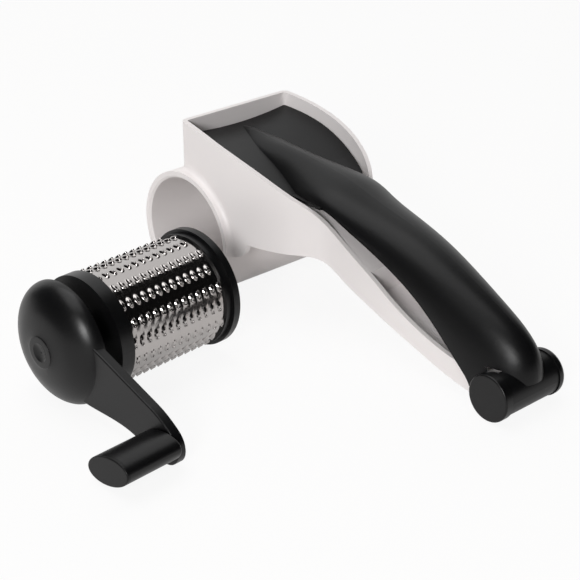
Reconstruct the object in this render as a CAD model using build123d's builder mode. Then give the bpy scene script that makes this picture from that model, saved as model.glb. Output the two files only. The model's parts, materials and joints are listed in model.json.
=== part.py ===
"""Hand rotary cheese grater.

A white moulding carries the hopper, the barrel and a channel handle. A black press arm is hinged at
the end of that handle and its plate closes the hopper. The grating drum lies beside the barrel's
mouth, with its dome cover, crank arm and turning grip.
"""

from build123d import *
import math
import os

# ---------------------------------------------------------------- layout
# The origin is on the table, under the middle of everything as it lies. +X runs from the barrel
# towards the hinge of the press arm, and the crank side is -Y.
BARREL_X = -75.9
MIDDLE_Y = 62.7

# ---------------------------------------------------------------- housing
WALL = 2.2
BARREL_RADIUS = 30.0
BARREL_LENGTH = 74.0
BARREL_WALL = 3.1
BORE_RADIUS = BARREL_RADIUS - BARREL_WALL
MOUTH_LEAD = 0.9
LIP_RADIUS = BORE_RADIUS - 2.6
LIP_THICKNESS = 1.6
HOPPER_BACK = 8.0
HOPPER_HALF = BARREL_LENGTH / 2 - 5.5
HOPPER_CORNER = 3.5
RIM_HEIGHT = 82.4
RIM_FALL = 0.0428
RIM_BEND = 0.00321
UNDERSIDE_HEIGHT = 36.4
BARREL_BLEND = 9.0
MOUTH_BLEND = 2.5
FLOOR = 2.4

# ---------------------------------------------------------------- hinge of the press arm
PIVOT_X = 171.5
PIVOT_HEIGHT = 10.3
PIN_RADIUS = 2.5
RUNNING = 0.05
BOSS_RADIUS = 6.3
BOSS_HALF = 12.6
CHEEK_GAP = 0.3
CHEEK = 1.6
HUB_RADIUS = 9.8
HUB_WALL = 2.0
END_WALL_FROM = -50.0
CAP_RADIUS = 10.3
CAP_THICKNESS = 4.0
CAP_EDGE = 0.8
CAP_CROWN = 2.6
PIN_SEAT = 2.0

# ---------------------------------------------------------------- press arm and pusher
ARM_WALL = 1.6
PLATE = 2.2
PLATE_GAP = 0.6
PLATE_DEPTH = 5.2
PLATE_SLOPE = 0.02
DISH = 2.8
DISH_FADES_FROM = 30.0
DISH_FADE = 0.05
PLATE_BEND = 42.0
TONGUE_START = 56.0
TONGUE_END = 72.0
TONGUE_HALF = 18.7
TONGUE = 1.2
REST_GAP = 0.2
REST_HALF = 2.0
SWING_GAP = 1.0
DRUM_GAP = 1.0
FOOT_HALF = HOPPER_HALF - 3.4
FOOT_BACK = 5.0
FOOT_FRONT = 40.0
FOOT_BOTTOM = 41.0
FOOT_WALL = 2.0
SEAT_GAP = 0.05

# ---------------------------------------------------------------- drum
DRUM_X = 40.55
DRUM_Y = -61.45
DRUM_YAW = 3.87
FLANGE_RADIUS = BORE_RADIUS - 0.4
FLANGE_RIM = 3.4
FLANGE_STEP = FLANGE_RADIUS - 1.5
FLANGE_DEPTH = 6.5
SHEET_RADIUS = FLANGE_STEP - 1.1
SHEET = 0.5
TOOTH_HEIGHT = 1.0
TOOTH_ROWS = 18
TOOTH_START = 8.6
TOOTH_PITCH = 3.75
TOOTH_LENGTH = 3.4
TOOTH_WIDTH = 2.0
HUB_RING_RADIUS = FLANGE_RADIUS - 1.0
HUB_RING = 6.5
DOME_RADIUS = BORE_RADIUS - 0.1
DOME_BACK = BARREL_LENGTH - LIP_THICKNESS + 0.4
HUB_END = DOME_BACK - 8.8
HUB_START = HUB_END - HUB_RING
HUB_PLATE = 2.5
SLEEVE = 1.6
SLEEVE_REACH = 2.5
SOCKET_RADIUS = 9.0
SOCKET_START = HUB_END - 20.0
SHEET_START = 1.5
SHEET_END = HUB_END - SHEET_START
SHAFT_SIDE = 9.6
SHAFT_PLAY = 0.1
SHAFT_END = DOME_BACK + 5.2
STUB_START = SOCKET_START + 0.5
STUB_END = STUB_START + 5.5
STUB_RADIUS = 4.2
RING_PLACE = STUB_END - 1.9
RING_SECTION = 0.75
RING_OUTER = 4.84
SCREW_RADIUS = 1.8
SCREW_HEAD = 3.2
SCREW_HEAD_THICKNESS = 1.8
SCREW_SLOT = 4.2
SCREW_END = SHAFT_END + 2.0

# ---------------------------------------------------------------- crank
DOME_DEPTH = 13.2
DOME_WALL = 2.2
DOME_BOSS = 8.0
DIMPLE_RADIUS = 4.2
DIMPLE_DEPTH = 1.0
CRANK_BACK = DOME_BACK + 0.6
CRANK_THICKNESS = 4.2
CRANK_EDGE = 0.7
CRANK_REACH = 65.3
CRANK_END_RADIUS = 7.4
CRANK_DROP = CRANK_END_RADIUS - DOME_RADIUS

# ---------------------------------------------------------------- grip
GRIP_LONG = 24.6
GRIP_SHORT = 12.5
GRIP_TILT = 16.5
GRIP_ABOVE_END = 1.2
GRIP_START = CRANK_BACK + CRANK_THICKNESS + 0.4
GRIP_LENGTH = 25.1
GRIP_CAP = 1.6
AXLE_RADIUS = 3.0
AXLE_HEAD = 4.6
AXLE_HEAD_THICKNESS = 1.6
HEAD_ROOM = 2.8
HEAD_GAP = 0.4
SIDE_PLAY = 0.4
GRIP_EDGE = 0.6

# Heights and reaches below are drawn for these two distances and follow the body when it grows.
DRAWN_CLIMB = 72.1
DRAWN_REACH = 111.5
HOPPER_FRONT = 60.0

HALF_LENGTH = BARREL_LENGTH / 2
TEETH_PER_ROW = 1 + int((HUB_START - TOOTH_START - TOOTH_PITCH / 2 - TOOTH_WIDTH) / TOOTH_PITCH)
DRUM = Plane(
    origin=(BARREL_X + DRUM_X, MIDDLE_Y + DRUM_Y, DOME_RADIUS),
    x_dir=(math.cos(math.radians(DRUM_YAW)), math.sin(math.radians(DRUM_YAW)), 0),
    z_dir=(math.sin(math.radians(DRUM_YAW)), -math.cos(math.radians(DRUM_YAW)), 0),
)
DRUM_SIDE = Plane(origin=DRUM.origin, x_dir=DRUM.z_dir, z_dir=-DRUM.x_dir)
DRUM_AXIS = Axis(DRUM.origin, DRUM.z_dir)


def along(start):
    """Plane square to the drum's axis, a distance out from the flange's outer face."""
    return DRUM.offset(start)


def level(height):
    """Level plane at a height, x from the barrel's axis and y from the middle of the body."""
    return Plane(origin=(BARREL_X, MIDDLE_Y, height))


def upright(y):
    """Upright plane across the body that looks to the crank side, x as above and y up."""
    return Plane(origin=(BARREL_X, MIDDLE_Y + y, 0), x_dir=(1, 0, 0), z_dir=(0, -1, 0))


def climb(height):
    """Height that is fixed at the hinge and follows the rim in full at the hopper."""
    return PIVOT_HEIGHT + (height - 10.3) * (RIM_HEIGHT - PIVOT_HEIGHT) / DRAWN_CLIMB


def run(x):
    """Distance along the handle that is fixed at the hopper's front and follows the hinge."""
    return HOPPER_FRONT + (x - HOPPER_FRONT) * (PIVOT_X - HOPPER_FRONT) / DRAWN_REACH


def on_handle(x, height):
    """Point in the side view of the handle or the arm."""
    return (run(x), climb(height))


def finish(part, name):
    """Name a finished piece and write it."""
    part.label = name
    export_step(part, f"parts/{name}.step")


os.makedirs("parts", exist_ok=True)


# ---------------------------------------------------------------- outlines of the body
def side_wall(inset, ahead=0.0):
    """Half plan of the body: straight back wall, bulging sides, shoulders and a narrow handle."""
    back = -HOPPER_BACK + inset
    swell = HOPPER_HALF - BOSS_HALF
    shares = [(20, 1.121), (46, 0.949), (60, 0.616), (70, 0.216), (82, 0.077), (110, 0.043), (146, 0)]
    points = [
        (x - ahead if x <= HOPPER_FRONT else run(x) - ahead, BOSS_HALF + share * swell - inset)
        for x, share in shares
    ]
    corner = (back, HOPPER_HALF - inset)
    Line((back, 0), corner)
    Spline(corner, *points, tangents=((1, 0.12), (1, -0.01)))
    end = (PIVOT_X + BOSS_RADIUS, BOSS_HALF - inset)
    Polyline(points[-1], end, (end[0], 0), (back, 0))


def rim_height(x):
    """Height of the rim over the hopper, a gentle fall that steepens towards the handle."""
    return RIM_HEIGHT - RIM_FALL * (x + HOPPER_BACK) - RIM_BEND * (x + HOPPER_BACK) ** 2


def plate_edge(x):
    """Top of the press plate at its edges, a little below the rim."""
    return rim_height(x) - PLATE_DEPTH - PLATE_SLOPE * (x + HOPPER_BACK)


def plate_middle(x):
    """Top of the press plate in the middle, where it is dished."""
    return plate_edge(x) - DISH + DISH_FADE * max(0, x - DISH_FADES_FROM)


def swing(radius, height):
    """Point at a height on a circle about the hinge, on the hopper's side."""
    rise = height - PIVOT_HEIGHT
    return (PIVOT_X - math.sqrt(radius**2 - rise**2), height)


def under_handle(rise):
    """Points along the underside of the handle, or of its floor when raised."""
    handle = [(144, 7.2), (122, 13.8), (100, 21.2), (80, 29.8)]
    outline = [on_handle(x, height) for x, height in handle] + [(HOPPER_FRONT, UNDERSIDE_HEIGHT)]
    return [(x, height + rise) for x, height in outline]


def barrel_joins(part):
    """Edges where the hopper and the handle grow out of the barrel."""
    found = []
    for edge in part.edges():
        spots = [edge.position_at(share) for share in (0.2, 0.5, 0.8)]
        reach = [math.hypot(p.X - BARREL_X, p.Z - BARREL_RADIUS) for p in spots]
        inside = abs(spots[1].Y - MIDDLE_Y) < HALF_LENGTH - 0.5
        seam = edge.length > BARREL_LENGTH - 0.5
        if inside and not seam and max(abs(r - BARREL_RADIUS) for r in reach) < 0.01:
            found.append(edge)
    return ShapeList(found)


# ---------------------------------------------------------------- housing
THROAT_TOP = climb(64.0)
THROAT_MIDDLE = (THROAT_TOP + BARREL_RADIUS) / 2
THROAT_RADIUS = PIVOT_X - 20.7
THROAT_WALL = 2.2
DECK = 2.2
SHELF_START = swing(THROAT_RADIUS, THROAT_TOP)
SHELF_BEND = on_handle(60, 56.2)
SHELF_END = on_handle(96.3, 37.2)
CHANNEL_END = PIVOT_X - 7.5
CHANNEL_END_FLOOR = 8.0


def shelf_height(x):
    """Height of the first, gentler stretch of the shelf."""
    share = (x - SHELF_START[0]) / (SHELF_BEND[0] - SHELF_START[0])
    return SHELF_START[1] + share * (SHELF_BEND[1] - SHELF_START[1])


with BuildPart() as well:
    with BuildSketch(level(0)):
        with BuildLine():
            side_wall(WALL)
        make_face()
        mirror(about=Plane.XZ)
    extrude(amount=RIM_HEIGHT + 10)
    fillet(well.edges().filter_by(Axis.Z).group_by(Axis.X)[0], radius=HOPPER_CORNER - WALL)
    with BuildSketch(upright(0)):
        with BuildLine():
            middle = swing(THROAT_RADIUS, THROAT_MIDDLE)
            foot = swing(THROAT_RADIUS, BARREL_RADIUS)
            back = -HOPPER_BACK + WALL
            above = RIM_HEIGHT + 10
            Polyline(foot, (back, BARREL_RADIUS), (back, above), (CHANNEL_END, above),
                     (CHANNEL_END, CHANNEL_END_FLOOR))
            floor = under_handle(FLOOR)[:3]
            step = (SHELF_END[0], floor[-1][1] + 1.8)
            Spline((CHANNEL_END, CHANNEL_END_FLOOR), *floor, step)
            Polyline(step, SHELF_END, SHELF_BEND, SHELF_START)
            ThreePointArc(SHELF_START, middle, foot)
        make_face()
    extrude(amount=60, both=True, mode=Mode.INTERSECT)

with BuildPart() as pocket:
    with BuildSketch(level(0)):
        with BuildLine():
            side_wall(WALL)
        make_face()
        mirror(about=Plane.XZ)
    extrude(amount=RIM_HEIGHT)
    with BuildSketch(upright(0)):
        with BuildLine():
            top = swing(THROAT_RADIUS - THROAT_WALL, THROAT_TOP - DECK - 0.3)
            middle = swing(THROAT_RADIUS - THROAT_WALL, THROAT_MIDDLE)
            foot = swing(THROAT_RADIUS - THROAT_WALL, UNDERSIDE_HEIGHT)
            end = SHELF_END[0] - FLOOR
            low = UNDERSIDE_HEIGHT - 20
            Polyline(top, (SHELF_BEND[0], SHELF_BEND[1] - DECK), (end, SHELF_END[1] - DECK), (end, low),
                     (foot[0], low), foot)
            ThreePointArc(foot, middle, top)
        make_face()
    extrude(amount=60, both=True, mode=Mode.INTERSECT)

with BuildPart() as housing:
    with BuildSketch(level(0)):
        with BuildLine():
            side_wall(0)
        make_face()
        mirror(about=Plane.XZ)
    extrude(amount=RIM_HEIGHT + 10)
    fillet(
        housing.edges().filter_by(Axis.Z).group_by(Axis.X)[0],
        radius=HOPPER_CORNER,
    )
    with BuildSketch(upright(0)):
        with BuildLine():
            Spline(
                (-HOPPER_BACK, RIM_HEIGHT),
                (20, rim_height(20)),
                (46, rim_height(46)),
                on_handle(62, 61.1),
                on_handle(76, 49.5),
                on_handle(99, 35.8),
                on_handle(122, 23.6),
                on_handle(146, 16.4),
                (PIVOT_X, PIVOT_HEIGHT + BOSS_RADIUS),
                tangents=((1, -RIM_FALL), (1, 0)),
            )
            ThreePointArc(
                (PIVOT_X, PIVOT_HEIGHT + BOSS_RADIUS),
                (PIVOT_X + BOSS_RADIUS, PIVOT_HEIGHT),
                (PIVOT_X, PIVOT_HEIGHT - BOSS_RADIUS),
            )
            Spline(
                (PIVOT_X, PIVOT_HEIGHT - BOSS_RADIUS),
                *under_handle(0),
                tangents=((-1, 0), (-1, 0)),
            )
            low = UNDERSIDE_HEIGHT - BARREL_BLEND - BARREL_RADIUS
            reach = BARREL_RADIUS + BARREL_BLEND
            blend = math.sqrt(reach**2 - low**2)
            share = BARREL_RADIUS / reach
            touch = (blend * share, BARREL_RADIUS + low * share)
            Line((HOPPER_FRONT, UNDERSIDE_HEIGHT), (blend, UNDERSIDE_HEIGHT))
            RadiusArc((blend, UNDERSIDE_HEIGHT), touch, BARREL_BLEND)
            Polyline(touch, (0, BARREL_RADIUS), (-HOPPER_BACK, BARREL_RADIUS), (-HOPPER_BACK, RIM_HEIGHT))
        make_face()
    extrude(amount=60, both=True, mode=Mode.INTERSECT)
    with BuildSketch(upright(-HALF_LENGTH)):
        with Locations((0, BARREL_RADIUS)):
            Circle(BARREL_RADIUS)
    extrude(amount=-BARREL_LENGTH)
    joins = barrel_joins(housing).filter_by(lambda edge: edge.center().Z > UNDERSIDE_HEIGHT)
    fillet(joins, radius=MOUTH_BLEND)
    add(pocket.part, mode=Mode.SUBTRACT)
    with BuildSketch(upright(-HALF_LENGTH)):
        with Locations((0, BARREL_RADIUS)):
            Circle(BARREL_RADIUS)
    extrude(amount=-BARREL_LENGTH)
    add(well.part, mode=Mode.SUBTRACT)
    with BuildSketch(upright(-HALF_LENGTH)):
        with Locations((0, BARREL_RADIUS)):
            Circle(BORE_RADIUS)
    extrude(amount=-(BARREL_LENGTH - LIP_THICKNESS), mode=Mode.SUBTRACT)
    with BuildSketch(upright(-HALF_LENGTH)):
        with Locations((0, BARREL_RADIUS)):
            Circle(LIP_RADIUS)
    extrude(amount=-BARREL_LENGTH, mode=Mode.SUBTRACT)
    with BuildSketch(upright(-HALF_LENGTH)):
        with Locations((0, BARREL_RADIUS)):
            Circle(BORE_RADIUS + MOUTH_LEAD)
    extrude(amount=-MOUTH_LEAD, taper=45, mode=Mode.SUBTRACT)
    with BuildSketch(upright(-BOSS_HALF)):
        with Locations((PIVOT_X, PIVOT_HEIGHT)):
            Circle(PIN_RADIUS + RUNNING)
    extrude(amount=-2 * BOSS_HALF, mode=Mode.SUBTRACT)
    with BuildSketch(upright(0)):
        with BuildLine():
            near, far = PLATE_BEND - REST_HALF, PLATE_BEND + REST_HALF
            roof = [(x, plate_middle(x) - PLATE - REST_GAP) for x in (near, far)]
            Polyline((near, shelf_height(near) - 1), (far, shelf_height(far) - 1), roof[1], roof[0],
                     close=True)
        make_face()
    extrude(amount=REST_HALF, both=True)
finish(housing.part, "housing")


# ---------------------------------------------------------------- press arm
# Each section stands on the arm's lower edge and reaches to its ridge:
# (lower x, lower height), (ridge x, ridge height), half width, how peaked it is.
ARM = [
    ((-1, 73.0), (-1, 73.9), 1.6, 1.6),
    ((12, 71.0), (12, 73.8), 6.6, 1.6),
    ((26, 67.6), (26, 73.1), 9.6, 1.5),
    ((40, 63.0), (40, 72.4), 12.4, 1.4),
    ((53, 60.6), (53, 71.2), 16.0, 1.3),
    ((62, 60.4), (63, 70.1), 17.8, 1.2),
    ((71, 60.4), (72, 68.6), 17.8, 1.1),
    ((84, 55.8), (87, 64.8), 16.6, 1.0),
    ((100, 49.8), (106, 60.7), 16.0, 1.0),
    ((115, 43.4), (124, 55.8), 15.6, 1.0),
    ((130, 34.4), (143, 48.2), 15.0, 1.0),
    ((143, 23.6), (160.5, 40.0), 14.6, 1.0),
    ((152, 15.6), (174, 31.5), 14.5, 1.0),
    ((158, 9.0), (181.6, 15.0), 14.5, 1.0),
]
ARM_HALF = BOSS_HALF + CHEEK_GAP + CHEEK
HOLLOW_FROM = 5
HUB_SWEEP = 32.0
SECTION_TURNS = [18, 36, 54, 72]


def arm_section(low, ridge, half, peak, inset=0.0):
    """One cross-section of the arm as a sketch: an arch over a level line, open outline when inset."""
    foot, crest = on_handle(*low), on_handle(*ridge)
    rise = Vector(crest[0] - foot[0], 0, crest[1] - foot[1])
    plane = Plane(
        origin=(BARREL_X + foot[0], MIDDLE_Y, foot[1]),
        x_dir=(0, 1, 0),
        z_dir=(rise.Z, 0, -rise.X),
    )
    wide = half - inset
    high = rise.length - inset
    with BuildSketch(plane) as section:
        with BuildLine():
            side = [
                (wide * math.cos(math.radians(turn)), high * math.sin(math.radians(turn)) ** peak)
                for turn in SECTION_TURNS
            ]
            Spline((wide, 0), *side, (0, high))
            Spline((0, high), *[(-x, y) for x, y in reversed(side)], (-wide, 0))
            if inset:
                Polyline((-wide, 0), (-wide, -3 * inset), (wide, -3 * inset), (wide, 0))
            else:
                Line((-wide, 0), (wide, 0))
        make_face()
    return section.sketch


def arm_loft(sections, inset=0.0):
    """Solid through a run of the arm's sections."""
    with BuildPart() as run:
        for section in sections:
            add(arm_section(*section, inset=inset))
        loft()
    return run.part


def plate_section(x, edge, middle, thickness):
    """Upright cross-section of the plate as a sketch, its dished top at the two heights."""
    plane = Plane(origin=(BARREL_X + x, MIDDLE_Y, 0), x_dir=(0, 1, 0), z_dir=(1, 0, 0))
    wide = HOPPER_HALF + 2
    with BuildSketch(plane) as section:
        with BuildLine():
            ThreePointArc((-wide, edge), (0, middle), (wide, edge))
            ThreePointArc((-wide, edge - thickness), (0, middle - thickness), (wide, edge - thickness))
            Line((-wide, edge), (-wide, edge - thickness))
            Line((wide, edge), (wide, edge - thickness))
        make_face()
    return section.sketch


def plate_loft(drop, thickness):
    """Dished slab from the hopper's back to the plate's bend, its top a distance below the plate's."""
    with BuildPart() as slab:
        for x in (-HOPPER_BACK + WALL, 12, DISH_FADES_FROM, PLATE_BEND):
            add(plate_section(x, plate_edge(x) - drop, plate_middle(x) - drop, thickness))
        loft()
    return slab.part


TONGUE_TOP = climb(61.3)

with BuildPart() as plate_front:
    add(plate_section(PLATE_BEND, plate_edge(PLATE_BEND), plate_middle(PLATE_BEND), PLATE))
    add(plate_section(TONGUE_START, TONGUE_TOP, TONGUE_TOP - 1, PLATE))
    loft(ruled=True)

with BuildPart() as plate:
    add(plate_loft(0, PLATE))
    add(plate_front.part)

with BuildPart() as press_arm:
    with BuildSketch(level(0)):
        with BuildLine():
            side_wall(WALL + PLATE_GAP, ahead=2.5)
        make_face()
        mirror(about=Plane.XZ)
    extrude(amount=RIM_HEIGHT + 10)
    fillet(press_arm.edges().filter_by(Axis.Z).group_by(Axis.X)[0], radius=HOPPER_CORNER - WALL)
    add(plate.part, mode=Mode.INTERSECT)
    with BuildSketch(level(TONGUE_TOP - TONGUE)):
        with Locations(((TONGUE_START + TONGUE_END) / 2 - 3, 0)):
            Rectangle(TONGUE_END - TONGUE_START + 6, 2 * TONGUE_HALF)
    extrude(amount=TONGUE)
    add(arm_loft(ARM))
    add(arm_loft(ARM[HOLLOW_FROM:], inset=ARM_WALL), mode=Mode.SUBTRACT)
    with BuildSketch(upright(ARM_HALF)):
        with Locations((PIVOT_X, PIVOT_HEIGHT)):
            Circle(HUB_RADIUS)
    extrude(amount=2 * ARM_HALF)
    with BuildSketch(upright(BOSS_HALF + CHEEK_GAP)):
        with Locations((PIVOT_X, PIVOT_HEIGHT)):
            Circle(HUB_RADIUS - HUB_WALL)
        with BuildLine():
            opening = math.radians(END_WALL_FROM)
            reach = 2 * HUB_RADIUS
            corner = (PIVOT_X + reach * math.cos(opening), PIVOT_HEIGHT + reach * math.sin(opening))
            over = PIVOT_HEIGHT + HUB_RADIUS + 0.2
            left = PIVOT_X - HUB_SWEEP
            Polyline((PIVOT_X, over), (PIVOT_X, PIVOT_HEIGHT), corner, (left, corner[1]), (left, over),
                     close=True)
        make_face()
    extrude(amount=2 * (BOSS_HALF + CHEEK_GAP), mode=Mode.SUBTRACT)
    with BuildSketch(upright(ARM_HALF)):
        with Locations((PIVOT_X, PIVOT_HEIGHT)):
            Circle(PIN_RADIUS)
    extrude(amount=2 * ARM_HALF, mode=Mode.SUBTRACT)
finish(press_arm.part, "press_arm")


# ---------------------------------------------------------------- pusher foot
def foot_side(inset):
    """Side outline of the pusher's foot: round over the drum and clear of the throat."""
    back = -FOOT_BACK + inset
    with BuildSketch(upright(FOOT_HALF - inset)) as side:
        with BuildLine():
            Polyline((back, RIM_HEIGHT), (FOOT_FRONT, RIM_HEIGHT), (FOOT_FRONT, FOOT_BOTTOM),
                     (back, FOOT_BOTTOM), close=True)
        make_face()
        with Locations((0, BARREL_RADIUS)):
            Circle(SHEET_RADIUS + TOOTH_HEIGHT + DRUM_GAP + inset, mode=Mode.SUBTRACT)
        with Locations((PIVOT_X, PIVOT_HEIGHT)):
            Circle(THROAT_RADIUS + SWING_GAP + inset, mode=Mode.SUBTRACT)
    return side.sketch


with BuildPart() as pusher_foot:
    extrude(foot_side(0), amount=2 * FOOT_HALF, dir=(0, -1, 0))
    add(plate_loft(PLATE + SEAT_GAP, RIM_HEIGHT - FOOT_BOTTOM), mode=Mode.INTERSECT)
    depth = 2 * (FOOT_HALF - FOOT_WALL)
    extrude(foot_side(FOOT_WALL), amount=depth, dir=(0, -1, 0), mode=Mode.SUBTRACT)
finish(pusher_foot.part, "pusher_foot")


# ---------------------------------------------------------------- pivot pin and its caps
with BuildPart() as pivot_pin:
    with BuildSketch(upright(ARM_HALF + PIN_SEAT)):
        with Locations((PIVOT_X, PIVOT_HEIGHT)):
            Circle(PIN_RADIUS)
    extrude(amount=2 * (ARM_HALF + PIN_SEAT))
    chamfer(pivot_pin.edges(), length=0.4)
finish(pivot_pin.part, "pivot_pin")

with BuildPart() as pivot_cap_near:
    with BuildSketch(upright(-ARM_HALF)):
        with Locations((PIVOT_X, PIVOT_HEIGHT)):
            Circle(CAP_RADIUS)
    extrude(amount=CAP_THICKNESS)
    fillet(pivot_cap_near.edges().group_by(Axis.Y)[0], radius=CAP_EDGE)
    with BuildSketch(upright(-ARM_HALF)):
        with Locations((PIVOT_X, PIVOT_HEIGHT)):
            Circle(PIN_RADIUS)
    extrude(amount=PIN_SEAT, mode=Mode.SUBTRACT)
finish(pivot_cap_near.part, "pivot_cap_near")

with BuildPart() as pivot_cap_far:
    with BuildSketch(upright(ARM_HALF)):
        with Locations((PIVOT_X, PIVOT_HEIGHT)):
            Circle(CAP_RADIUS)
    extrude(amount=-CAP_THICKNESS)
    fillet(pivot_cap_far.edges().group_by(Axis.Y)[-1], radius=CAP_CROWN)
    with BuildSketch(upright(ARM_HALF)):
        with Locations((PIVOT_X, PIVOT_HEIGHT)):
            Circle(PIN_RADIUS)
    extrude(amount=-PIN_SEAT, mode=Mode.SUBTRACT)
finish(pivot_cap_far.part, "pivot_cap_far")


# ---------------------------------------------------------------- grating sheet
def spot(radius, turn, start):
    """Point on the drum at a radius, an angle in degrees and a distance out from the flange."""
    angle = math.radians(turn)
    return along(start).from_local_coords(Vector(radius * math.cos(angle), radius * math.sin(angle), 0))


def tooth_places():
    """Angle and distance of every tooth, neighbouring rows half a step apart."""
    places = []
    for row in range(TOOTH_ROWS):
        shift = TOOTH_PITCH / 2 * (row % 2)
        for count in range(TEETH_PER_ROW):
            places.append((row * 360 / TOOTH_ROWS, TOOTH_START + shift + count * TOOTH_PITCH))
    return places


bend = ((TOOTH_LENGTH / 2) ** 2 + TOOTH_HEIGHT**2) / (2 * TOOTH_HEIGHT)
lean = math.degrees(TOOTH_LENGTH / 4 / SHEET_RADIUS)
bumps = [
    Plane(origin=spot(SHEET_RADIUS + TOOTH_HEIGHT - bend, turn, start), z_dir=DRUM.z_dir)
    for turn, start in tooth_places()
]
holes = [
    Plane(
        origin=spot(SHEET_RADIUS, turn - lean, start),
        x_dir=spot(1, turn - lean, start) - spot(0, 0, start),
        z_dir=DRUM.z_dir,
    )
    for turn, start in tooth_places()
]

with BuildPart() as drum_sheet:
    with BuildSketch(along(SHEET_START)):
        Circle(SHEET_RADIUS)
    extrude(amount=SHEET_END - SHEET_START)
    with Locations(*bumps):
        Cylinder(bend, TOOTH_WIDTH)
    with BuildSketch(along(SHEET_START)):
        Circle(SHEET_RADIUS - SHEET)
    extrude(amount=SHEET_END - SHEET_START, mode=Mode.SUBTRACT)
    with Locations(*holes):
        Box(4 * TOOTH_HEIGHT, TOOTH_LENGTH / 2 - 0.1, TOOTH_WIDTH - 0.6, mode=Mode.SUBTRACT)
finish(drum_sheet.part, "drum_sheet")

# ---------------------------------------------------------------- open end of the drum
SLEEVE_RADIUS = SHEET_RADIUS - SHEET - SLEEVE


def groove(start):
    """Ring-shaped outline of the groove that holds the edge of the sheet."""
    with BuildSketch(along(start)) as ring:
        Circle(SHEET_RADIUS)
        Circle(SHEET_RADIUS - SHEET, mode=Mode.SUBTRACT)
    return ring.sketch


with BuildPart() as drum_flange:
    with BuildSketch(along(0)):
        Circle(FLANGE_RADIUS)
    extrude(amount=FLANGE_RIM)
    with BuildSketch(along(FLANGE_RIM)):
        Circle(FLANGE_STEP)
    extrude(amount=FLANGE_DEPTH - FLANGE_RIM)
    with BuildSketch(along(FLANGE_DEPTH)):
        Circle(SHEET_RADIUS - SHEET)
    extrude(amount=SLEEVE_REACH)
    with BuildSketch(along(0)):
        Circle(SLEEVE_RADIUS)
    extrude(amount=FLANGE_DEPTH + SLEEVE_REACH, mode=Mode.SUBTRACT)
    extrude(groove(SHEET_START), amount=FLANGE_DEPTH - SHEET_START, dir=DRUM.z_dir, mode=Mode.SUBTRACT)
finish(drum_flange.part, "drum_flange")

# ---------------------------------------------------------------- crank end of the drum
with BuildPart() as drum_hub:
    with BuildSketch(along(HUB_START)):
        Circle(HUB_RING_RADIUS)
    extrude(amount=HUB_END - HUB_START)
    with BuildSketch(along(HUB_START)):
        Circle(SHEET_RADIUS - SHEET)
    extrude(amount=-SLEEVE_REACH)
    with BuildSketch(along(HUB_START - SLEEVE_REACH)):
        Circle(SLEEVE_RADIUS)
    extrude(amount=SLEEVE_REACH + HUB_END - HUB_START - HUB_PLATE, mode=Mode.SUBTRACT)
    with BuildSketch(along(SOCKET_START)):
        Circle(SOCKET_RADIUS)
    extrude(amount=HUB_END - SOCKET_START)
    with BuildSketch(along(SOCKET_START)):
        Circle(SHAFT_SIDE / 2 + SHAFT_PLAY)
    extrude(amount=STUB_END - SOCKET_START, mode=Mode.SUBTRACT)
    with BuildSketch(along(STUB_END)):
        Rectangle(SHAFT_SIDE + 2 * SHAFT_PLAY, SHAFT_SIDE + 2 * SHAFT_PLAY)
    extrude(amount=HUB_END - STUB_END, mode=Mode.SUBTRACT)
    extrude(groove(HUB_START), amount=SHEET_END - HUB_START, dir=DRUM.z_dir, mode=Mode.SUBTRACT)
finish(drum_hub.part, "drum_hub")

# ---------------------------------------------------------------- shaft, its rubber ring and screw
with BuildPart() as drive_shaft:
    with BuildSketch(along(STUB_END)):
        Rectangle(SHAFT_SIDE, SHAFT_SIDE)
    extrude(amount=SHAFT_END - STUB_END)
    with BuildSketch(along(STUB_START)):
        Circle(STUB_RADIUS)
    extrude(amount=STUB_END - STUB_START)
    with BuildSketch(along(RING_PLACE - RING_SECTION)):
        Circle(STUB_RADIUS)
        Circle(RING_OUTER - 2 * RING_SECTION, mode=Mode.SUBTRACT)
    extrude(amount=2 * RING_SECTION, mode=Mode.SUBTRACT)
    with BuildSketch(along(STUB_START)):
        Circle(SCREW_RADIUS)
    extrude(amount=SHAFT_END - STUB_START, mode=Mode.SUBTRACT)
    with BuildSketch(along(STUB_START)):
        Circle(SCREW_HEAD)
    extrude(amount=SCREW_HEAD_THICKNESS, mode=Mode.SUBTRACT)
finish(drive_shaft.part, "drive_shaft")

with BuildPart() as shaft_ring:
    with BuildSketch(DRUM_SIDE):
        with Locations((RING_PLACE, RING_OUTER - RING_SECTION)):
            Circle(RING_SECTION)
    revolve(axis=DRUM_AXIS)
finish(shaft_ring.part, "shaft_ring")

with BuildPart() as shaft_screw:
    with BuildSketch(along(STUB_START)):
        Circle(SCREW_HEAD)
    extrude(amount=SCREW_HEAD_THICKNESS)
    with BuildSketch(along(STUB_START)):
        Circle(SCREW_RADIUS)
    extrude(amount=SCREW_END - STUB_START)
    with BuildSketch(along(STUB_START)):
        Rectangle(SCREW_SLOT, 1)
        Rectangle(1, SCREW_SLOT)
    extrude(amount=SCREW_HEAD_THICKNESS / 2, mode=Mode.SUBTRACT)
finish(shaft_screw.part, "shaft_screw")


# ---------------------------------------------------------------- crank: dome cover and arm in one
GRIP_X = CRANK_REACH - GRIP_ABOVE_END
GRIP_Y = CRANK_DROP + GRIP_ABOVE_END


def dome(radius, depth):
    """Half outline of the dome beside the drum's axis, from its open base to the tip."""
    points = [
        (DOME_BACK + depth * math.sin(math.radians(turn)), radius * math.cos(math.radians(turn)))
        for turn in range(0, 91, 15)
    ]
    points[-1] = (DOME_BACK + depth, 0)
    Spline(*points, tangents=((0.02, 0), (0, -1)))
    Polyline(points[-1], (DOME_BACK, 0), points[0])


dish = (DIMPLE_RADIUS**2 + DIMPLE_DEPTH**2) / (2 * DIMPLE_DEPTH)

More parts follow.
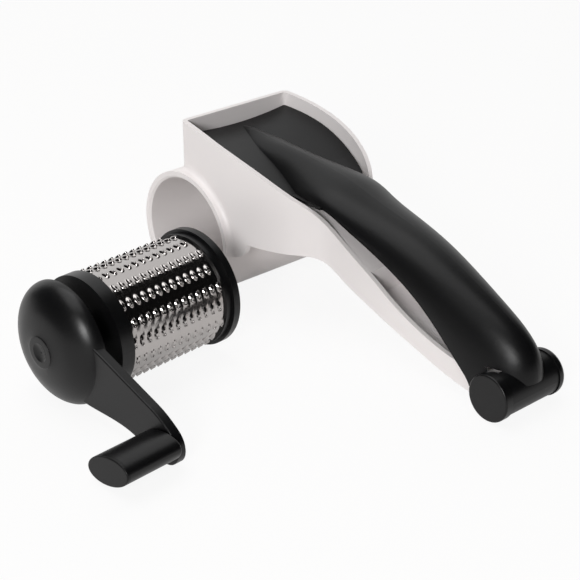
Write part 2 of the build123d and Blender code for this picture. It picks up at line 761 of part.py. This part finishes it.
with BuildPart() as crank:
    with BuildSketch(along(CRANK_BACK)):
        with BuildLine():
            root = CRANK_DROP - 0.6
            high = (CRANK_REACH - 7.8, CRANK_DROP + 14.4)
            side = (CRANK_REACH + CRANK_END_RADIUS, CRANK_DROP)
            low = (CRANK_REACH, CRANK_DROP - CRANK_END_RADIUS)
            corner = CRANK_END_RADIUS * math.sqrt(0.5)
            Line((8, 13.9), high)
            Spline(high, (CRANK_REACH + 2.2, CRANK_DROP + 8.8), side, tangents=((0.93, -0.36), (0, -1)))
            ThreePointArc(side, (CRANK_REACH + corner, CRANK_DROP - corner), low)
            Spline(low, (CRANK_REACH - 18.3, root - 2), (14, root), tangents=((-1, 0), (-1, 0.1)))
            Line((14, root), (8, 13.9))
        make_face()
    extrude(amount=CRANK_THICKNESS)
    fillet(crank.edges().group_by(DRUM_AXIS)[-1], radius=CRANK_EDGE)
    with BuildSketch(DRUM_SIDE):
        with BuildLine():
            dome(DOME_RADIUS, DOME_DEPTH)
        make_face()
    revolve(axis=DRUM_AXIS)
    with BuildSketch(DRUM_SIDE):
        with BuildLine():
            dome(DOME_RADIUS - DOME_WALL, DOME_DEPTH - DOME_WALL)
        make_face()
    revolve(axis=DRUM_AXIS, mode=Mode.SUBTRACT)
    with BuildSketch(along(DOME_BACK)):
        Circle(DOME_BOSS)
    extrude(amount=DOME_DEPTH - DOME_WALL)
    with Locations(along(DOME_BACK + DOME_DEPTH - DIMPLE_DEPTH + dish)):
        Sphere(dish, mode=Mode.SUBTRACT)
    with BuildSketch(along(DOME_BACK)):
        Rectangle(SHAFT_SIDE, SHAFT_SIDE)
    extrude(amount=SHAFT_END - DOME_BACK, mode=Mode.SUBTRACT)
    with BuildSketch(along(DOME_BACK)):
        Circle(SCREW_RADIUS)
    extrude(amount=SCREW_END - DOME_BACK, mode=Mode.SUBTRACT)
    with BuildSketch(along(CRANK_BACK)):
        with Locations((GRIP_X, GRIP_Y)):
            Circle(AXLE_RADIUS)
    extrude(amount=CRANK_THICKNESS, mode=Mode.SUBTRACT)
finish(crank.part, "crank")


# ---------------------------------------------------------------- grip, its axle and end piece
def at_grip(start):
    """Plane across the grip with x along its oval's longer way."""
    tilt = math.radians(GRIP_TILT)
    return Plane(
        origin=along(start).from_local_coords(Vector(GRIP_X, GRIP_Y, 0)),
        x_dir=DRUM.x_dir * math.cos(tilt) + DRUM.y_dir * math.sin(tilt),
        z_dir=DRUM.z_dir,
    )


HEAD_START = GRIP_START + GRIP_LENGTH - HEAD_ROOM

with BuildPart() as grip_axle:
    with BuildSketch(at_grip(CRANK_BACK)):
        Circle(AXLE_RADIUS)
    extrude(amount=HEAD_START + SIDE_PLAY - CRANK_BACK)
    with BuildSketch(at_grip(HEAD_START + SIDE_PLAY)):
        Circle(AXLE_HEAD)
    extrude(amount=AXLE_HEAD_THICKNESS)
finish(grip_axle.part, "grip_axle")

with BuildPart() as grip:
    with BuildSketch(at_grip(GRIP_START)):
        Ellipse(GRIP_LONG / 2, GRIP_SHORT / 2)
    extrude(amount=GRIP_LENGTH)
    fillet(grip.edges().group_by(Axis(DRUM.origin, DRUM.z_dir))[0], radius=GRIP_EDGE)
    with BuildSketch(at_grip(GRIP_START)):
        Circle(AXLE_RADIUS + RUNNING)
    extrude(amount=GRIP_LENGTH, mode=Mode.SUBTRACT)
    with BuildSketch(at_grip(HEAD_START)):
        Circle(AXLE_HEAD + HEAD_GAP)
    extrude(amount=HEAD_ROOM, mode=Mode.SUBTRACT)
finish(grip.part, "grip")

with BuildPart() as grip_cap:
    with BuildSketch(at_grip(GRIP_START + GRIP_LENGTH)):
        Ellipse(GRIP_LONG / 2, GRIP_SHORT / 2)
    extrude(amount=GRIP_CAP)
    fillet(grip_cap.edges().group_by(Axis(DRUM.origin, DRUM.z_dir))[-1], radius=GRIP_EDGE)
finish(grip_cap.part, "grip_cap")
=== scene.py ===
# %% [markdown]
# # A hand rotary grater, dressed for a photograph
#
# The solid model already gives every piece its shape and its place. This lesson
# gives those pieces their finishes, makes the few surfaces that need finer detail
# than a solid model holds, and sets up the camera, the floor and the light. All
# lengths are in metres, in the frame of the solid model.

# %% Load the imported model
import json
import math

import bmesh
import bpy
import numpy as np
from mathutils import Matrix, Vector


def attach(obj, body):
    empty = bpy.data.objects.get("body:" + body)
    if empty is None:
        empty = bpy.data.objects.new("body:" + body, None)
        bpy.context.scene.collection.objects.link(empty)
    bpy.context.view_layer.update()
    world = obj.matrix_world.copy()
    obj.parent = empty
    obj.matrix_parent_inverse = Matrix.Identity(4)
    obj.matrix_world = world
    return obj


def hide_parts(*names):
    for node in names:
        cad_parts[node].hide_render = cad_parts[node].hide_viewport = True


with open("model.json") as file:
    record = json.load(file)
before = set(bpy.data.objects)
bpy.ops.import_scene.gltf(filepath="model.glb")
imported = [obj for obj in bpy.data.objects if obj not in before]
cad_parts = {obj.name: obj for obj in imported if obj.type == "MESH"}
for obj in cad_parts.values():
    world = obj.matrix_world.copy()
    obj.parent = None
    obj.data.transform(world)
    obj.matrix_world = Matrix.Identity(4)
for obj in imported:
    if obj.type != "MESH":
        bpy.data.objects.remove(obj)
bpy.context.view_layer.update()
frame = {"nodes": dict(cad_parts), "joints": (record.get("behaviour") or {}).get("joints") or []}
MM = 0.001

# %% [markdown]
# ## The camera
#
# A long lens stands about two thirds of a metre away, high on the crank's side, so
# that parallel edges run together only gently. A camera could be turned by hand
# with Euler angles. Here it is aimed with a look-at quaternion, because two points
# say more than three angles.

# %% Camera
camera_place = Vector((433.4, -360.6, 320.5)) * MM
camera_target = Vector((-15.27, 36.88, 20.0)) * MM

lens = bpy.data.cameras.new("camera")
lens.sensor_width = 36
lens.lens = 93.77
camera = bpy.data.objects.new("camera", lens)
camera.location = camera_place
camera.rotation_mode = "QUATERNION"
camera.rotation_quaternion = (camera_target - camera_place).to_track_quat("-Z", "Y")
bpy.context.collection.objects.link(camera)
bpy.context.scene.camera = camera
print("camera distance in mm:", round((camera_target - camera_place).length / MM))

# %% [markdown]
# ## Materials are small node trees
#
# Every finish below is built from nodes. Three helpers keep that short: one turns
# a given colour into linear light, one adds a node with its settings and
# links, and one starts an empty material.

# %% Helpers for materials
def linear(hex_colour):
    """Linear colour from an sRGB hex value: each channel goes through the sRGB curve."""
    values = [int(hex_colour[i:i + 2], 16) / 255 for i in (1, 3, 5)]
    return tuple(v / 12.92 if v <= 0.04045 else ((v + 0.055) / 1.055) ** 2.4 for v in values) + (1.0,)


def add(tree, kind, inputs=None, **settings):
    """Adds one node: settings are its properties, inputs its socket values or the sockets linked to them."""
    node = tree.nodes.new(kind)
    for key, value in settings.items():
        setattr(node, key, value)
    for key, value in (inputs or {}).items():
        if isinstance(value, bpy.types.NodeSocket):
            tree.links.new(value, node.inputs[key])
        else:
            node.inputs[key].default_value = value
    return node


def new_material(name):
    """An empty node material and its output node."""
    material = bpy.data.materials.new(name)
    material.use_nodes = True
    tree = material.node_tree
    tree.nodes.clear()
    return material, tree, add(tree, "ShaderNodeOutputMaterial")


def mesh_object(name, points, faces, material):
    """A mesh object from an array of points and an array of faces, with one material."""
    mesh = bpy.data.meshes.new(name)
    mesh.from_pydata(np.asarray(points).reshape(-1, 3).tolist(), [], np.asarray(faces).tolist())
    mesh.materials.append(material)
    piece = bpy.data.objects.new(name, mesh)
    bpy.context.collection.objects.link(piece)
    return piece


# %% [markdown]
# ## Floor
#
# Small kitchen tools are shown on a white sweep. The floor could be an endless
# white light, but then the object would seem to float. A real white surface under
# soft lamps keeps a faint contact shadow, so some of the paper's own shading stays
# under the glow that the camera sees.

# %% Floor
floor_material, tree, output = new_material("white_paper_sweep")
paper = add(tree, "ShaderNodeBsdfDiffuse", {"Color": linear("#F6F4F3")})
glow = add(tree, "ShaderNodeEmission", {"Color": linear("#FFFFFF"), "Strength": 1.0})
path = add(tree, "ShaderNodeLightPath")
to_camera = add(tree, "ShaderNodeMath", {0: path.outputs["Is Camera Ray"], 1: 0.9}, operation="MULTIPLY")
to_gloss = add(tree, "ShaderNodeMath", {0: path.outputs["Is Glossy Ray"], 1: 0.5}, operation="MULTIPLY")
to_glass = add(tree, "ShaderNodeMath", {0: path.outputs["Is Transmission Ray"], 1: to_camera.outputs[0]},
               operation="MAXIMUM")
share = add(tree, "ShaderNodeMath", {0: to_glass.outputs[0], 1: to_gloss.outputs[0]}, operation="MAXIMUM")
mix = add(tree, "ShaderNodeMixShader", {0: share.outputs[0], 1: paper.outputs[0], 2: glow.outputs[0]})
tree.links.new(mix.outputs[0], output.inputs["Surface"])

FLOOR_HALF = 4.0
FLOOR_DROP = 0.0002
corners = [(x * FLOOR_HALF, y * FLOOR_HALF, 0) for x, y in ((-1, -1), (1, -1), (1, 1), (-1, 1))]
floor = mesh_object("floor", corners, [(0, 1, 2, 3)], floor_material)
floor.location.z = -FLOOR_DROP
print("floor side in m:", 2 * FLOOR_HALF)

# %% [markdown]
# ## Light
#
# Black plastic and steel show the room more than the lamps, so the room is part of
# the lighting. Behind the far left of the object the white wall stays open: it
# draws the pale half of the drum. Everywhere else hangs black cloth, which keeps
# the plastics deep and lays the dark band along the drum. The cloth could be a
# dark world instead, but a real tent leaves the white world as it is, and the
# camera looks straight through it.

# %% World
bpy.context.scene.view_settings.view_transform = "Standard"
world = bpy.data.worlds.new("studio")
bpy.context.scene.world = world
world.use_nodes = True
tree = world.node_tree
tree.nodes.clear()
path = add(tree, "ShaderNodeLightPath")
seen = add(tree, "ShaderNodeMath", {0: path.outputs["Is Camera Ray"], 1: path.outputs["Is Glossy Ray"]},
           operation="MAXIMUM")
seen = add(tree, "ShaderNodeMath", {0: seen.outputs[0], 1: path.outputs["Is Transmission Ray"]},
           operation="MAXIMUM")
dim = add(tree, "ShaderNodeBackground", {"Color": linear("#F4F2F0"), "Strength": 0.9})
white = add(tree, "ShaderNodeBackground", {"Color": linear("#FFFFFF"), "Strength": 1.0})
mix = add(tree, "ShaderNodeMixShader", {0: seen.outputs[0], 1: dim.outputs[0], 2: white.outputs[0]})
sky = add(tree, "ShaderNodeOutputWorld")
tree.links.new(mix.outputs[0], sky.inputs["Surface"])

# %% Black cloth tent
cloth, tree, output = new_material("black_felt_cloth")
felt = add(tree, "ShaderNodeBsdfDiffuse", {"Color": linear("#2A2A2B")})
clear = add(tree, "ShaderNodeBsdfTransparent")
path = add(tree, "ShaderNodeLightPath")
mix = add(tree, "ShaderNodeMixShader",
          {0: path.outputs["Is Camera Ray"], 1: felt.outputs[0], 2: clear.outputs[0]})
tree.links.new(mix.outputs[0], output.inputs["Surface"])


def tent(name, radius, turn_from, turn_to, low, high, columns=48, rows=16):
    """Cloth on part of a sphere, in degrees round the upright axis from +X and up from the floor.

    A point is radius * (cos turn * cos rise, sin turn * cos rise, sin rise)."""
    turn, rise = np.meshgrid(np.radians(np.linspace(turn_from, turn_to, columns)),
                             np.radians(np.linspace(low, high, rows)))
    points = radius * np.stack([np.cos(turn) * np.cos(rise), np.sin(turn) * np.cos(rise), np.sin(rise)], -1)
    first = (np.arange(rows - 1)[:, None] * columns + np.arange(columns - 1)).ravel()
    faces = np.stack([first, first + columns, first + columns + 1, first + 1], -1)
    mesh_object(name, points, faces, cloth)


tent("cloth_round", 3.0, -170, 92, -4, 88)


# %% Lamps
def soft_box(name, place, target, width, height, power):
    """A rectangular area lamp at one point that faces another."""
    lamp = bpy.data.lights.new(name, "AREA")
    lamp.shape = "RECTANGLE"
    lamp.size = width
    lamp.size_y = height
    lamp.energy = power
    holder = bpy.data.objects.new(name, lamp)
    holder.location = place
    holder.rotation_mode = "QUATERNION"
    holder.rotation_quaternion = (Vector(target) - Vector(place)).to_track_quat("-Z", "Y")
    bpy.context.collection.objects.link(holder)


KEY_DISTANCE = 1.4
key_way = Vector((0.50, -0.76, 0.42)).normalized()
soft_box("key_box", key_way * KEY_DISTANCE, (0, 0, 0.03), 0.34, 0.42, 11.5)
soft_box("top_box", (-0.25, -0.35, 1.5), (0, 0, 0), 1.5, 1.2, 12)

# %% [markdown]
# ## Plastics
#
# Everything but the drum's sheet and the pins is moulded plastic. A moulded face copies the
# steel of the mould, so it carries a very fine, even grain instead of scratches.

# %% Moulded plastic
FLOW_MM = 40
GLOSS_SHIFT = 0.02


def moulded_plastic(name, hex_colour, roughness, grain_mm, depth_mm, specular=0.5, tint=0.02):
    """ABS from a textured mould: noise grain as a bump, and slow shifts of colour and gloss."""
    material, tree, output = new_material(name)
    place = add(tree, "ShaderNodeTexCoord")
    grain = add(tree, "ShaderNodeTexNoise", {"Vector": place.outputs["Object"], "Scale": 1 / (grain_mm * MM),
                                             "Detail": 3.0})
    slow = add(tree, "ShaderNodeTexNoise", {"Vector": place.outputs["Object"], "Scale": 1 / (FLOW_MM * MM),
                                            "Detail": 2.0})
    gloss = add(tree, "ShaderNodeMapRange", {"Value": slow.outputs["Fac"], "From Min": 0.3, "From Max": 0.7,
                                             "To Min": roughness - GLOSS_SHIFT,
                                             "To Max": roughness + GLOSS_SHIFT})
    bump = add(tree, "ShaderNodeBump", {"Height": grain.outputs["Fac"], "Strength": 1.0,
                                        "Distance": depth_mm * MM})
    base = linear(hex_colour)
    paler = tuple(min(1.0, c * (1 + 4 * tint) + tint * 0.02) for c in base[:3]) + (1.0,)
    shade = add(tree, "ShaderNodeMix", {"Factor": slow.outputs["Fac"]}, data_type="RGBA")
    shade.inputs[6].default_value = base
    shade.inputs[7].default_value = paler
    surface = add(tree, "ShaderNodeBsdfPrincipled", {
        "Base Color": shade.outputs[2], "Roughness": gloss.outputs[0], "IOR": 1.5,
        "Specular IOR Level": specular, "Normal": bump.outputs["Normal"],
    })
    tree.links.new(surface.outputs[0], output.inputs["Surface"])
    return material


def dress(material, *nodes):
    """Gives a solid's every material slot one finish."""
    for name in nodes:
        piece = frame["nodes"][name]
        piece.data.materials.clear()
        piece.data.materials.append(material)


white_abs = moulded_plastic("white_moulded_abs", "#F1ECEB", 0.38, 0.5, 0.004, tint=0.0)
black_abs = moulded_plastic("black_moulded_abs", "#0B0B0C", 0.38, 0.4, 0.004, specular=0.24)
black_gloss = moulded_plastic("black_polished_abs", "#0A0A0B", 0.34, 0.4, 0.003, specular=0.32)
satin_pieces = ["press_arm", "pusher_foot", "grip_cap", "drive_shaft"]
polished_pieces = ["pivot_cap_near", "pivot_cap_far", "drum_flange", "drum_hub", "crank", "grip", "shaft_ring"]
dress(white_abs, "housing")
dress(black_abs, *satin_pieces)
dress(black_gloss, *polished_pieces)
print("black pieces:", len(satin_pieces), "satin and", len(polished_pieces), "polished")

# %% [markdown]
# ## Steel
#
# The drum's sheet is bright rolled stainless steel. The mill leaves it almost
# mirror smooth, with fine shifts of gloss, so it shows the white wall and the black
# cloth as bands. The pins are ground instead, a little duller.

# %% Steel
STREAK_MM = 1.2
STREAK_SHIFT = 0.03


def rolled_steel(name, hex_colour, roughness):
    """Full metal, whose gloss shifts a little from place to place."""
    material, tree, output = new_material(name)
    place = add(tree, "ShaderNodeTexCoord")
    streak = add(tree, "ShaderNodeTexNoise", {"Vector": place.outputs["Object"],
                                              "Scale": 1 / (STREAK_MM * MM), "Detail": 2.0})
    gloss = add(tree, "ShaderNodeMapRange", {"Value": streak.outputs["Fac"],
                                             "To Min": roughness - STREAK_SHIFT,
                                             "To Max": roughness + STREAK_SHIFT})
    surface = add(tree, "ShaderNodeBsdfPrincipled", {"Base Color": linear(hex_colour), "Metallic": 1.0,
                                                     "Roughness": gloss.outputs[0]})
    tree.links.new(surface.outputs[0], output.inputs["Surface"])
    return material


sheet_steel = rolled_steel("rolled_stainless_sheet", "#B4B0AE", 0.14)
pin_steel = rolled_steel("ground_steel", "#B9B8B6", 0.28)
dress(sheet_steel, "drum_sheet")
dress(pin_steel, "pivot_pin", "shaft_screw", "grip_axle")
print("steel pieces dressed")

# %% [markdown]
# ## The grating sheet
#
# Each tooth of the drum is pressed out of the flat sheet before it is rolled: an
# oval swelling, long round the drum, with a hole whose raised edge does the
# cutting. In the solid model a tooth is a plain hood. A texture could fake the
# ovals, but their edges stand out against the light, so they are modelled. One
# tooth is six rings of twelve points, and numpy lays that one pattern round the
# drum 234 times.

# %% Where the drum lies
drum_joint = next(joint for joint in frame["joints"] if joint["name"] == "drum_turn")
drum_place = np.array(drum_joint["pos_m"])
drum_along = np.array(drum_joint["axis"])
drum_along /= np.linalg.norm(drum_along)
drum_side = np.array([-drum_along[1], drum_along[0], 0.0])

sheet_mesh = frame["nodes"]["drum_sheet"].data
spots = np.zeros(len(sheet_mesh.vertices) * 3)
sheet_mesh.vertices.foreach_get("co", spots)
spots = spots.reshape(-1, 3) - drum_place
reach = spots @ drum_along
radii = np.linalg.norm(spots - reach[:, None] * drum_along, axis=1)
sheet_start, sheet_end = reach.min(), reach.max()
SHEET = 0.5 * MM
sheet_radius = radii.min() + SHEET
print("sheet's ends and radius in mm:", [round(v / MM, 2) for v in (sheet_start, sheet_end, sheet_radius)])

# %% One tooth and its patch of sheet
ROWS = 18
TEETH = 13
PITCH = 3.85 * MM
FIRST_TOOTH = 8.1 * MM
FIRST_ROW_TURN = math.radians(4)
TOOTH_HALF_LENGTH = 2.5 * MM
TOOTH_HALF_WIDTH = 1.22 * MM
TOOTH_HEIGHT = 1.0 * MM
HOLE_HALF_LENGTH = 0.85 * MM
HOLE_HALF_WIDTH = 0.62 * MM
HOLE_SHIFT = -1.2 * MM

half_row = sheet_radius * math.pi / ROWS
quarter = half_row / 2
half_pitch = PITCH / 2
patch_edge = np.array([
    (half_row, 0), (half_row, half_pitch), (quarter, half_pitch), (0, half_pitch),
    (-quarter, half_pitch), (-half_row, half_pitch), (-half_row, 0), (-half_row, -half_pitch),
    (-quarter, -half_pitch), (0, -half_pitch), (quarter, -half_pitch), (half_row, -half_pitch),
])
turns = np.radians([0, 38, 64, 90, 116, 142, 180, 218, 244, 270, 296, 322])
oval = np.stack([TOOTH_HALF_LENGTH * np.cos(turns), TOOTH_HALF_WIDTH * np.sin(turns)], -1)
ring_sizes = np.array([1.12, 1.0, 0.84, 0.6])
ring_rises = np.array([0.0, 0.06, 0.5, 0.88]) * TOOTH_HEIGHT
ring_shifts = np.array([0.0, 0.0, -0.12, -0.5]) * MM
hole = np.stack([HOLE_HALF_LENGTH * np.cos(turns) + HOLE_SHIFT, HOLE_HALF_WIDTH * np.sin(turns)], -1)


def tooth_pattern():
    """Six rings of twelve points (round, along, rise): the patch's edge, four ovals, the hole's edge.

    Every oval is the foot's oval times its size, moved towards the hole, at its own height."""
    rings = oval[None] * ring_sizes[:, None, None]
    rings[:, :, 0] += ring_shifts[:, None]
    flat = np.concatenate([patch_edge[None], rings, hole[None]])
    rises = np.concatenate([[0.0], ring_rises, [TOOTH_HEIGHT]])
    return np.concatenate([flat, np.broadcast_to(rises[:, None, None], flat.shape[:2] + (1,))], -1)


pattern = tooth_pattern()
print("faces in a tooth:", (len(pattern) - 1) * pattern.shape[1])


# %% All the teeth and the plain margins
def on_drum(round_way, along_way, rise):
    """Points of the drum: angle = first turn + length round / radius, and a rise is added to the radius."""
    angle = FIRST_ROW_TURN + round_way / sheet_radius
    radius = (sheet_radius + rise)[..., None]
    outward = np.cos(angle)[..., None] * drum_side + np.sin(angle)[..., None] * np.array([0, 0, 1.0])
    return drum_place + radius * outward + along_way[..., None] * drum_along


def grid_faces(rows, columns, offset):
    """Four-sided faces between neighbouring points of a grid, as rows of point numbers."""
    first = (np.arange(rows - 1)[:, None] * columns + np.arange(columns - 1)).ravel() + offset
    return np.stack([first, first + columns, first + columns + 1, first + 1], -1)


row, count = np.meshgrid(np.arange(ROWS), np.arange(TEETH), indexing="ij")
centre_round = 2 * half_row * row
centre_along = FIRST_TOOTH + half_pitch * ((row + 1) % 2) + PITCH * count
teeth = on_drum(
    centre_round[..., None, None] + pattern[..., 0],
    centre_along[..., None, None] + pattern[..., 1],
    np.zeros(row.shape + (1, 1)) + pattern[..., 2],
)
points = [teeth.reshape(-1, 3)]
rings, sides = pattern.shape[:2]
ring, side = np.meshgrid(np.arange(rings - 1), np.arange(sides), indexing="ij")
after = (side + 1) % sides
inner, outer = (ring + 1) * sides, ring * sides
tooth_faces = np.stack([outer + side, outer + after, inner + after, inner + side], -1)
starts = np.arange(ROWS * TEETH) * rings * sides
faces = [(tooth_faces.reshape(1, -1, 4) + starts[:, None, None]).reshape(-1, 4)]
made = len(points[0])

across = np.array([-half_row, -quarter, 0, quarter, half_row])
first_edge = FIRST_TOOTH - half_pitch
last_edge = first_edge + TEETH * PITCH
for number in range(ROWS):
    shifted = (number + 1) % 2
    before = [sheet_start, first_edge] + [first_edge + half_pitch] * shifted
    behind = [last_edge] * (1 - shifted) + [last_edge + half_pitch, sheet_end]
    for stations in (before, behind):
        round_way, along_way = np.meshgrid(2 * half_row * number + across, stations, indexing="ij")
        patch = on_drum(round_way, along_way, np.zeros(round_way.shape))
        points.append(patch.reshape(-1, 3))
        faces.append(grid_faces(*round_way.shape, made))
        made += round_way.size

grating_sheet = mesh_object("grating_sheet", np.concatenate(points), np.concatenate(faces), sheet_steel)
print("points before the seams are closed:", made)


# %% Close the seams and give the sheet its thickness
WELD = 0.004 * MM


def close_and_smooth(piece, centre, along):
    """Welds points that fall together, turns all faces away from the drum's axis, and smooths the shading."""
    work = bmesh.new()
    work.from_mesh(piece.data)
    bmesh.ops.remove_doubles(work, verts=work.verts, dist=WELD)
    bmesh.ops.recalc_face_normals(work, faces=work.faces)
    face = max(work.faces, key=lambda f: f.calc_area())
    middle = np.array(face.calc_center_median()) - centre
    outward = middle - (middle @ along) * along
    if np.array(face.normal) @ outward < 0:
        bmesh.ops.reverse_faces(work, faces=work.faces)
    work.to_mesh(piece.data)
    work.free()
    piece.data.shade_smooth()


close_and_smooth(grating_sheet, drum_place, drum_along)
wall = grating_sheet.modifiers.new("wall", "SOLIDIFY")
wall.thickness = SHEET
wall.offset = -1
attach(grating_sheet, "drum")
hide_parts("drum_sheet")
print("faces of the sheet:", len(grating_sheet.data.polygons))
